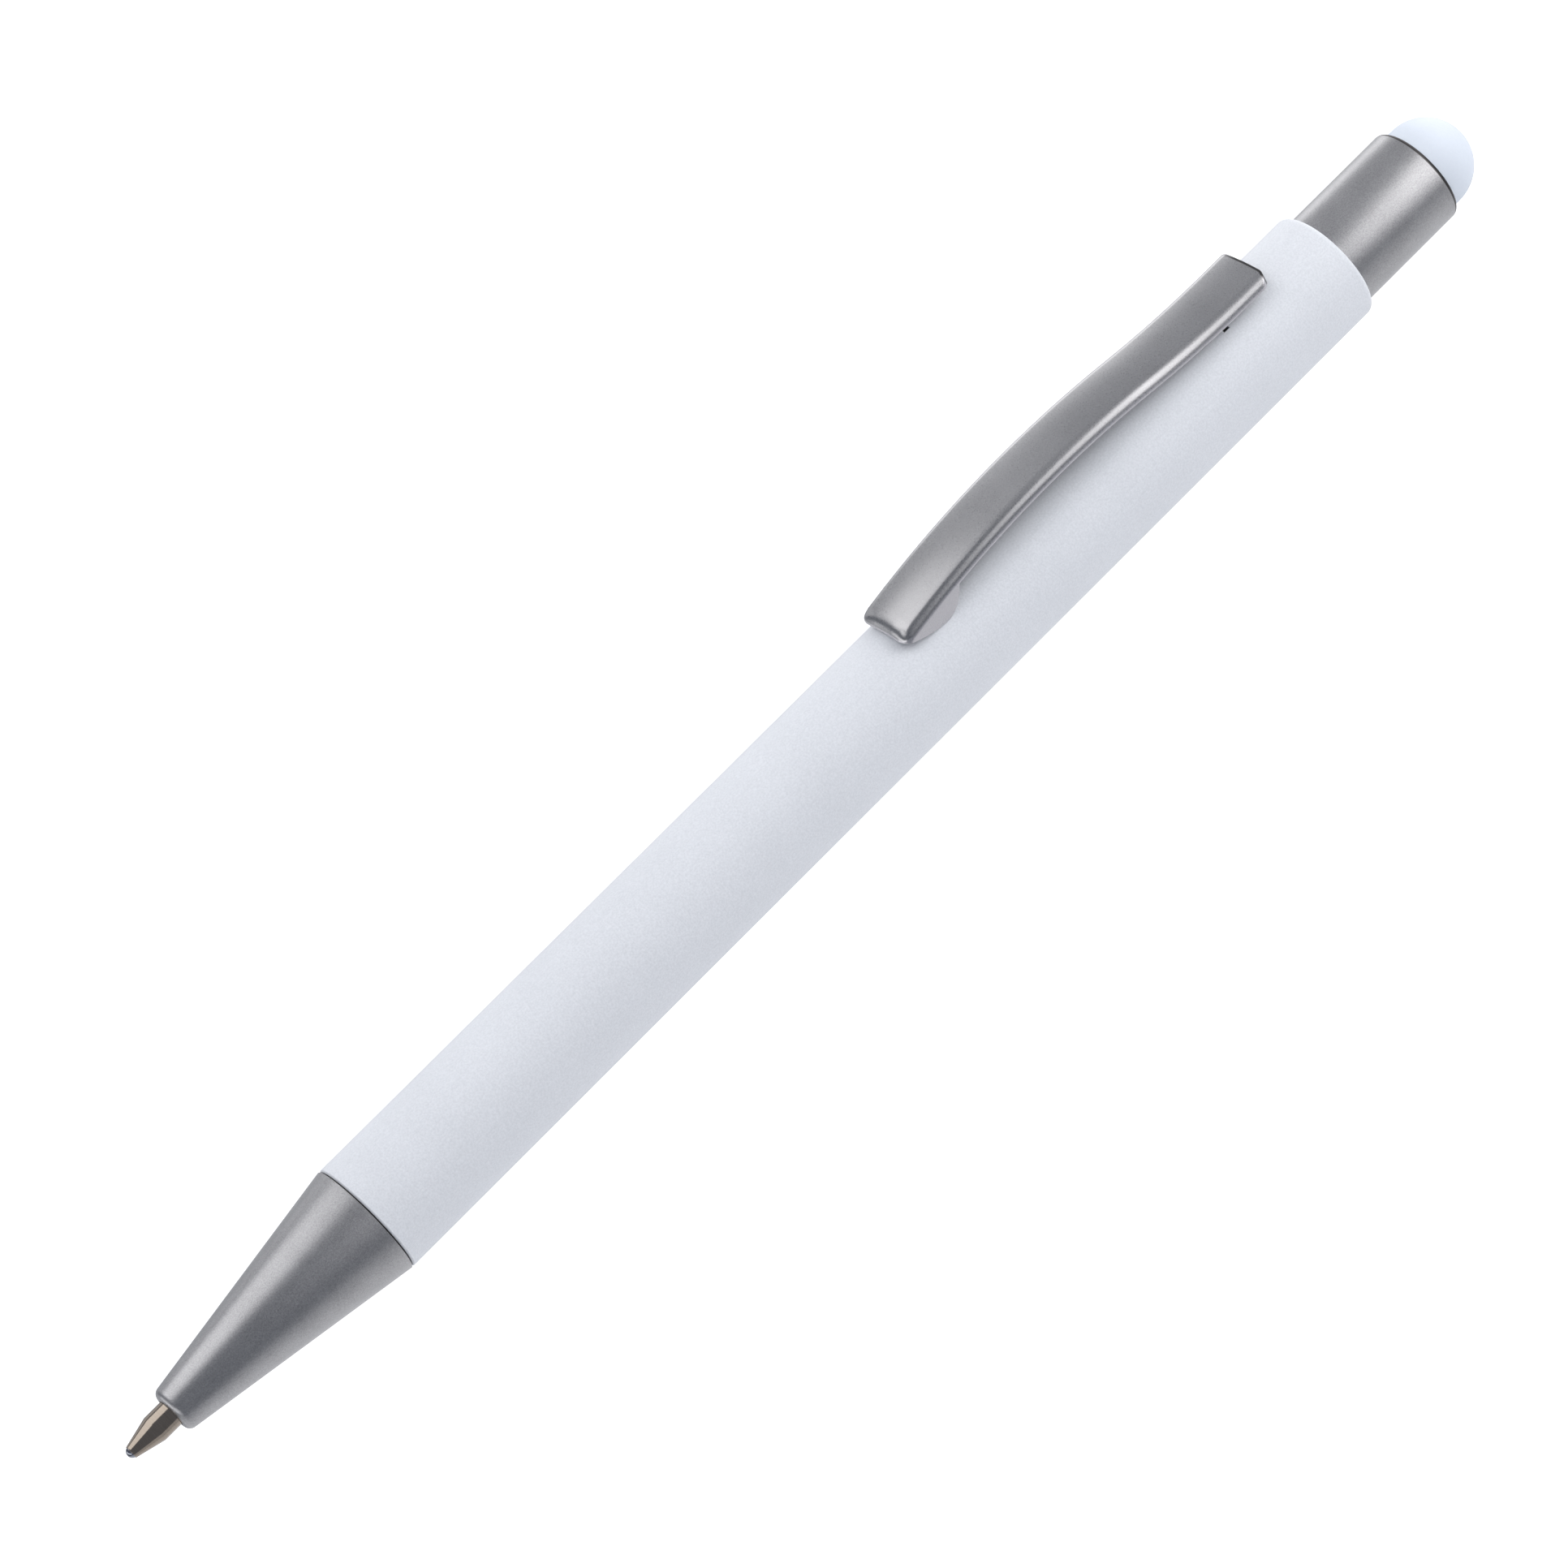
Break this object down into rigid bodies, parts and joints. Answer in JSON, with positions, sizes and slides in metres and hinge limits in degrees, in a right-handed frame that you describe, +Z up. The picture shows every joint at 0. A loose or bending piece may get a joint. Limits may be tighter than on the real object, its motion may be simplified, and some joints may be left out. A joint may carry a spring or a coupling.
{
  "type": "stylus pen",
  "caption": "Slim click ball pen with a round barrel, tapered grey nose cone, arched pressed clip, push button and a soft stylus dome on its end, writing point out.",
  "frame": {"origin": "on the surface the pen lies on, under the middle of its length", "axes": "+X along the pen from the writing point to the stylus dome, +Z up through the clip"},
  "size_m": [0.1472, 0.01, 0.0128],
  "materials": {
    "lacquered_barrel": "white soft-touch lacquer on aluminium tube",
    "grey_metal": "satin gunmetal plating",
    "clip_steel": "satin gunmetal plating on pressed steel",
    "saddle_plastic": "moulded black plastic",
    "brass": "turned brass",
    "sleeve_plastic": "moulded acetal",
    "thruster_plastic": "moulded acetal",
    "rotor_plastic": "moulded acetal",
    "spring_steel": "bright spring wire",
    "dome_rubber": "matt conductive silicone",
    "plug_plastic": "conductive plastic",
    "nickel_tube": "nickel-plated brass tube",
    "holder_plastic": "moulded plastic",
    "nickel_point": "polished nickel silver",
    "ball_metal": "polished tungsten carbide",
    "ink": "blue ink paste",
    "grease": "clear grease",
    "end_plug_plastic": "moulded plastic"
  },
  "bodies": {
    "barrel": {"barrel_tube": "lacquered_barrel", "nose_cone": "grey_metal", "front_bush": "brass", "cam_sleeve": "sleeve_plastic", "return_spring": "spring_steel"},
    "clip": {"clip": "clip_steel", "clip_saddle": "saddle_plastic"},
    "button": {"button_shell": "grey_metal", "stylus_dome": "dome_rubber", "stylus_plug": "plug_plastic", "thruster": "thruster_plastic"},
    "refill": {"refill_tube": "nickel_tube", "point_holder": "holder_plastic", "writing_tip": "nickel_point", "ink_column": "ink", "grease_plug": "grease", "refill_end_plug": "end_plug_plastic", "rotor": "rotor_plastic"},
    "ball": {"writing_ball": "ball_metal"}
  },
  "joints": [
    {"name": "click_button", "type": "slide", "parent": "barrel", "child": "button", "axis": [1, 0, 0], "range_m": [-0.0012, 0.0058]},
    {"name": "refill_slide", "type": "slide", "parent": "barrel", "child": "refill", "axis": [1, 0, 0], "range_m": [-0.0012, 0.0058], "deforming": ["return_spring"]},
    {"name": "ball_roll", "type": "hinge", "parent": "refill", "child": "ball", "pos_m": [-0.0731, 0, 0.005], "axis": [0, 1, 0], "continuous": true},
    {"name": "clip_flex", "type": "hinge", "parent": "barrel", "child": "clip", "pos_m": [0.04625, 0, 0.0097], "axis": [0, 1, 0], "range_deg": [0, 5], "stiffness_Nm_per_rad": 1, "springref_deg": -1.72}
  ],
  "couplings": [
    {"joint": "refill_slide", "follows": "click_button", "ratio": 1}
  ]
}
